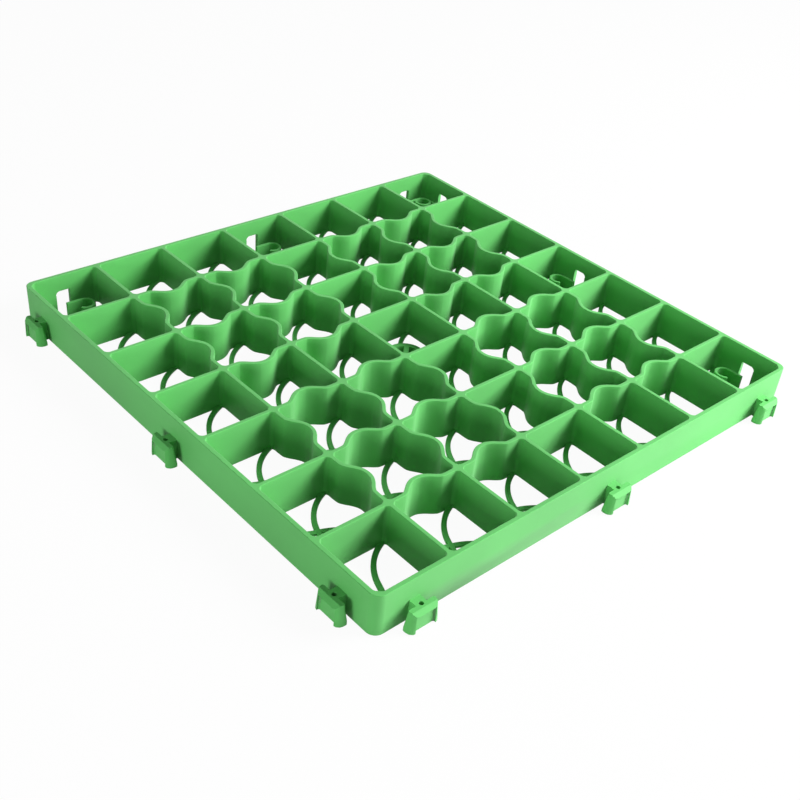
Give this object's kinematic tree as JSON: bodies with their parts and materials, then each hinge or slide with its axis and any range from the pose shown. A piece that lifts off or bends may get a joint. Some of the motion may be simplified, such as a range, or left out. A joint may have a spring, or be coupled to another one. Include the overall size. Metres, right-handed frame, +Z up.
{
  "type": "grass paver grid",
  "caption": "Flat square plastic grid of open cells with straight and wavy walls, curved floor strips, and hooks and slots that join it to its neighbours on the ground",
  "frame": {"origin": "middle of the underside of the square, in the plane that it lies on", "axes": "+Z up, +X and +Y along the edges; the hooks are on the -X and -Y edges, the slots on +X and +Y"},
  "size_m": [0.5143, 0.5143, 0.038],
  "materials": {
    "green_plastic": "moulded, slightly glossy green polyethylene"
  },
  "bodies": {
    "root": {"paver_grid": "green_plastic"}
  },
  "joints": []
}
